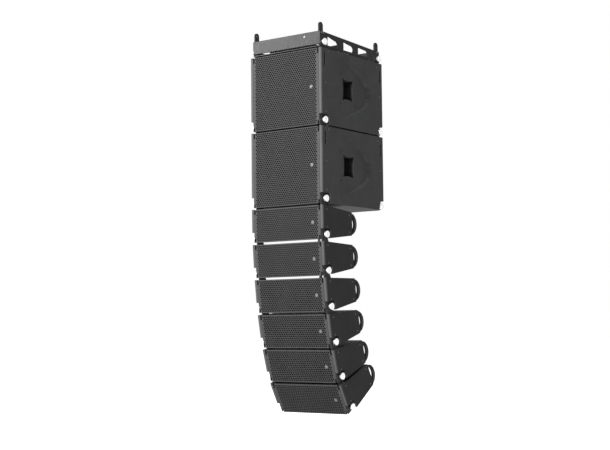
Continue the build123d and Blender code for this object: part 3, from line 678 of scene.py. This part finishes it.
def foam_shell(height):
    """A sheet of foam with a gently uneven face and rounded rims."""
    shell = Shell()
    columns, rows = 48, round(height / 14)
    low, high = FOAM_MARGIN - height, -FOAM_MARGIN

    def point(column, row, y):
        x = -FOAM_HALF + 2 * FOAM_HALF * column / columns
        z = low + (high - low) * row / rows
        rim = min(column, columns - column, row, rows - row)
        sag = 0.35 * math.sin(x / 37 + z / 53) + 0.25 * math.sin(x / 17 - z / 23)
        return (x, y + (1.4 if rim == 0 else 0.5 + 0.4 * sag), z)

    for column in range(columns):
        for row in range(rows):
            corners = ((column, row), (column + 1, row), (column + 1, row + 1), (column, row + 1))
            shell.face(*[point(a, b, FOAM_FRONT) for a, b in corners])
            shell.face(*[(point(a, b, 0)[0], FOAM_BACK, point(a, b, 0)[2]) for a, b in reversed(corners)])
    edge = [(c, 0) for c in range(columns)] + [(columns, r) for r in range(rows)]
    edge += [(c, rows) for c in range(columns, 0, -1)] + [(0, r) for r in range(rows, 0, -1)]
    for here, after in zip(edge, edge[1:] + edge[:1]):
        front, front_after = point(*here, FOAM_FRONT), point(*after, FOAM_FRONT)
        back, back_after = (front[0], FOAM_BACK, front[2]), (front_after[0], FOAM_BACK, front_after[2])
        shell.face(front, back, back_after, front_after)
    return shell


def badge_shell():
    """A blank domed badge with a raised rim, on a short stem that ends behind the sheet."""
    radius = BADGE[1]
    rings = [(-3.0, 4.0), (-0.3, 4.0), (-0.3, radius - 0.4), (0.0, radius)]
    rings += arc(1.4, radius - 1.0, 1.0, 60, 180, 5)
    rings += [(0.7, radius - 2.6), (1.3, radius * 0.6), (1.7, radius * 0.3), (1.8, 0.0)]
    return turned(rings, 64)


def build_foam_and_badges():
    foams = {}
    badge = Shell()
    badge.add(badge_shell(), Matrix.Rotation(math.radians(-90), 4, "Z"))
    badge = badge.mesh("badge", "badge", 40)
    for name in SUBS + MODULES:
        height = HEIGHT[name]
        if height not in foams:
            foams[height] = foam_shell(height).mesh(f"foam_{height:.0f}", "foam", 60)
        piece(f"{name}_grille_foam", foams[height], name)
        disc = piece(f"{name}_blank_badge", badge, name)
        disc.matrix_world = PLACES[name] @ Matrix.Translation((BADGE[0] * MM, 0, -height / 2 * MM))


# ---- Screws and connectors -------------------------------------------------------------
CUP_SCREWS = ((264.0, -420.5), (491.0, -420.5), (264.0, -177.5), (491.0, -177.5))
SUB_SCREWS = ((92.0, -24.0), (56.0, -281.0), (57.0, -511.0), (807.0, -39.0), (847.0, -291.0))
MODULE_SCREWS = ((52.0, -33.0), (52.0, -175.0), (364.0, -68.0), (364.0, -207.0))
FACE_FRONT = Matrix.Rotation(math.radians(-90), 4, "Z")
FACE_BACK = Matrix.Rotation(math.radians(90), 4, "Z")


def screw_shell(radius, rise):
    """A pan-head screw with a washer face and a hexagon socket, its head pointing along +X."""
    rings = [(-1.2, 0.0), (-1.2, radius), (0.15 * radius, radius)]
    for step in range(4):
        angle = math.radians(25 * step)
        shoulder = 0.15 * radius + (rise - 0.15 * radius) * math.sin(angle)
        rings.append((shoulder, radius * (0.55 + 0.45 * math.cos(angle))))
    rings += [(rise, 0.52 * radius), (rise - 0.04 * radius, 0.48 * radius, hexagon)]
    rings += [(0.25 * rise, 0.46 * radius, hexagon), (0.15 * rise, 0.0)]
    return turned(rings, 36)


def screws(name, cabinet, head, places, material):
    """One piece made of a screw head at each place."""
    shell = Shell()
    for place in places:
        shell.add(head, place)
    piece(name, shell.mesh(name, material, 35), cabinet)


def both_ways(points, depth):
    """Places on the right and left side, at a depth below the side face."""
    right = [shift(HALF_WIDTH - depth, y, z) for y, z in points]
    return right + [MIRROR @ place for place in right]


def rows_of(xs, zs, y, turn):
    return [shift(x, y, z) @ turn for x in xs for z in zs]


def connector_shell():
    """A flanged round chassis socket: square plate, collar, deep barrel, keyed core and two screws."""
    shell = Shell()
    shell.add(turned([(0.0, 0.0), (0.0, 19.0, squarish), (1.4, 19.0, squarish), (2.0, 18.4, squarish),
                      (2.0, 14.6), (3.6, 14.2), (3.6, 12.6), (-9.0, 12.2), (-9.0, 7.6), (1.0, 7.2),
                      (1.6, 6.6), (1.6, 2.4), (-3.0, 2.2), (-3.0, 0.0)], 64))
    head = screw_shell(2.2, 1.2)
    for sign in (1, -1):
        shell.add(head, shift(2.0, 10.6 * sign, 13.2 * sign))
    return shell


def squarish(angle):
    """Radius factor that turns a circle into a rounded square."""
    return (math.cos(angle) ** 8 + math.sin(angle) ** 8) ** -0.125 * 0.92


def build_fixings():
    small, large, tiny = screw_shell(6.0, 1.9), screw_shell(6.2, 2.6), screw_shell(3.2, 1.2)
    connector = connector_shell()
    for name in SUBS:
        screws(f"{name}_panel_screws", name, small, both_ways(SUB_SCREWS, 2.0), "screw")
        screws(f"{name}_cup_screws", name, large, both_ways(CUP_SCREWS, 20.0), "zinc")
        back = rows_of((-240, 0, 240), (-30, -590), SUB_DEPTH, FACE_BACK)
        back += rows_of((-290, 290), (-200, -420), SUB_DEPTH, FACE_BACK)
        back += rows_of((-102, 0, 102), (-238, -383), SUB_DEPTH + 3, FACE_BACK)
        screws(f"{name}_back_screws", name, screw_shell(4.5, 2.0), back, "zinc")
        sockets = rows_of((-45, 45), (-285.5, -335.5), SUB_DEPTH - 27, FACE_BACK)
        screws(f"{name}_connectors", name, connector, sockets, "plastic")
        screws(f"{name}_grille_screws", name, tiny,
               rows_of((-326.0, 326.0), (-90, -310, -530), 0, FACE_FRONT), "zinc")
    for name in MODULES:
        screws(f"{name}_panel_screws", name, small, both_ways(MODULE_SCREWS, 2.0), "screw")
        back = rows_of((-300, -170, 260, 320), (-62, -213), MODULE_DEPTH, FACE_BACK)
        back += rows_of((98, 202), (-100.5, -174.5), MODULE_DEPTH + 3, FACE_BACK)
        screws(f"{name}_back_screws", name, screw_shell(4.0, 1.8), back, "zinc")
        sockets = rows_of((125, 175), (-137.5,), MODULE_DEPTH + 3, FACE_BACK)
        screws(f"{name}_connectors", name, connector, sockets, "plastic")
        screws(f"{name}_grille_screws", name, tiny,
               rows_of((-326.0, 326.0), (-70, -205), 0, FACE_FRONT), "zinc")


# ---- Welds -----------------------------------------------------------------------------
def bead(shell, start, end, outwards, radius=3.0):
    """A rippled fillet bead along a straight seam, bulging towards outwards."""
    start, end, outwards = Vector(start), Vector(end), Vector(outwards)
    along = end - start
    across = along.normalized().cross(outwards)
    count = max(4, int(along.length / 1.5))
    loops = []
    for step in range(count + 1):
        taper = min(1.0, 0.4 + 0.3 * min(step, count - step))
        swell = radius * taper * (1 + 0.13 * math.cos(math.pi * step))
        middle = start + along * step / count
        loop = []
        for turn in range(10):
            angle = 2 * math.pi * turn / 10
            offset = outwards * (swell * math.cos(angle)) + across * (swell * math.sin(angle))
            loop.append(tuple(middle + offset))
        loops.append(loop)
    for first, second in zip(loops, loops[1:]):
        for turn in range(10):
            after = (turn + 1) % 10
            shell.face(first[turn], first[after], second[after], second[turn])
    shell.face(*reversed(loops[0]))
    shell.face(*loops[-1])


TUBES = ((757.0, 805.0, 30.0, 88.0), (286.0, 326.0, 30.0, 70.0))
PLATE_IN = 334.0


def build_welds():
    """Beads round the ends of the frame's cross tubes, where they meet the side plates."""
    shell = Shell()
    for side in (1, -1):
        x = side * (PLATE_IN - 0.5)
        for y0, y1, z0, z1 in TUBES:
            corners = [(y0, z0), (y1, z0), (y1, z1), (y0, z1)]
            middle = ((y0 + y1) / 2, (z0 + z1) / 2)
            for (ya, za), (yb, zb) in zip(corners, corners[1:] + corners[:1]):
                out = Vector((-side * 0.7, (ya + yb) / 2 - middle[0], (za + zb) / 2 - middle[1]))
                out = Vector((-side, *out.yz.normalized())).normalized()
                bead(shell, (x, ya, za), (x, yb, zb), out)
        for z in (35.0, 133.0):
            bead(shell, (side * 306.0, 17.0, z), (side * 306.0, 51.0, z), (side, 0, 0.2))
    piece("frame_weld_beads", shell.mesh("frame_weld_beads", "weld", 50), "frame")


# ---- Carried-over CAD nodes ------------------------------------------------------------
def soften(node, width, material):
    """Welds a CAD node's facets, rounds its edges and gives it its material."""
    made = frame["nodes"][node]
    made.data.materials.clear()
    made.data.materials.append(MATERIAL[material])
    weld = made.modifiers.new("weld", "WELD")
    weld.merge_threshold = 0.00002
    flats = made.modifiers.new("flats", "DECIMATE")
    flats.decimate_type = "DISSOLVE"
    flats.angle_limit = math.radians(1.0)
    edge = made.modifiers.new("edge", "BEVEL")
    edge.width = width * MM
    edge.segments = 2
    edge.limit_method = "ANGLE"
    edge.angle_limit = math.radians(35)
    shade = made.modifiers.new("shade", "WEIGHTED_NORMAL")
    shade.weight = 90


def finish_cad_nodes():
    for name in SUBS:
        soften(f"{name}_cabinet", 1.5, "sub_paint")
        soften(f"{name}_handle_cups", 1.0, "plastic")
        soften(f"{name}_rear_panel", 0.8, "anodised")
        soften(f"{name}_rigging", 0.6, "rigging")
        soften(f"{name}_woofer", 0.6, "rubber")
    for name in MODULES:
        soften(f"{name}_cabinet", 1.5, "module_paint")
        soften(f"{name}_rigging", 0.6, "rigging")
        soften(f"{name}_drivers", 0.6, "rubber")
    for part, width in (("side_plates", 0.8), ("cross_tubes", 2.0), ("lifting_lugs", 1.2)):
        soften(f"frame_{part}", width, "frame")
    soften("frame_front_bar", 0.8, "bar")
    soften("frame_bolts", 0.5, "zinc")


# ---- Studio ----------------------------------------------------------------------------
FLOOR_DROP = 0.16               # from the lowest module to the floor
CAMERA_PLACE = (6.1291, -8.5100, -2.3926)
CAMERA_TURN = (36.389, 4.551, -0.5475)      # yaw, pitch and roll in degrees
CAMERA_LENS = 74.228
FLOOR_GLOW = 0.72               # lifts the floor to the white of the room, so no horizon shows


def studio():
    """A pale floor under the hanging array, a bright room, and soft lights."""
    bpy.ops.mesh.primitive_circle_add(vertices=96, radius=60, fill_type="NGON",
                                      location=(0, 0, cad_low.z - FLOOR_DROP))
    floor = bpy.context.object
    floor.name = "studio_floor"
    recipe = Recipe("studio_floor")
    mottle = recipe.noise(3.0, 5.0)
    tone = recipe.mix(mottle, grey(0.40), grey(0.44))
    floor.data.materials.append(recipe.finish(tone, 0.9, recipe.bump((mottle, 0.0005)), specular=0.0))
    recipe.shader.inputs["Emission Color"].default_value = (1.0, 1.0, 1.0, 1.0)
    recipe.shader.inputs["Emission Strength"].default_value = FLOOR_GLOW
    world = bpy.data.worlds.new("studio")
    world.use_nodes = True
    world.node_tree.nodes["Background"].inputs["Color"].default_value = (1.0, 1.0, 1.0, 1.0)
    world.node_tree.nodes["Background"].inputs["Strength"].default_value = 1.0
    bpy.context.scene.world = world
    lamp("key", (-8.6, -7.5, 3.0), 900, 2.5)
    lamp("front", (0.9, -9.0, 2.0), 3000, 2.0)
    bpy.context.scene.view_settings.view_transform = "Standard"


def lamp(name, place, power, size):
    """A square area light aimed at the middle of the array."""
    data = bpy.data.lights.new(name, "AREA")
    data.energy = power
    data.size = size
    made = bpy.data.objects.new(name, data)
    bpy.context.scene.collection.objects.link(made)
    aim = (cad_low + cad_high) / 2 - Vector(place)
    made.location = place
    made.rotation_euler = aim.to_track_quat("-Z", "Y").to_euler()


def camera():
    """A long-lens view from the front right, level with the middle modules, tilted slightly up."""
    yaw, pitch, roll = (math.radians(angle) for angle in CAMERA_TURN)
    forward = Vector((-math.sin(yaw) * math.cos(pitch), math.cos(yaw) * math.cos(pitch), math.sin(pitch)))
    right = Vector((math.cos(yaw), math.sin(yaw), 0))
    up = right.cross(forward)
    right, up = (right * math.cos(roll) + up * math.sin(roll), up * math.cos(roll) - right * math.sin(roll))
    data = bpy.data.cameras.new("camera")
    data.lens = CAMERA_LENS
    made = bpy.data.objects.new("camera", data)
    bpy.context.scene.collection.objects.link(made)
    made.matrix_world = Matrix.Translation(CAMERA_PLACE) @ Matrix((
        (right.x, up.x, -forward.x, 0), (right.y, up.y, -forward.y, 0),
        (right.z, up.z, -forward.z, 0), (0, 0, 0, 1)))
    bpy.context.scene.camera = made


# ---- The scene -------------------------------------------------------------------------
camera()
finish_cad_nodes()
build_grilles()
build_knobs()
build_foam_and_badges()
build_fixings()
build_welds()
studio()

bpy.context.view_layer.update()
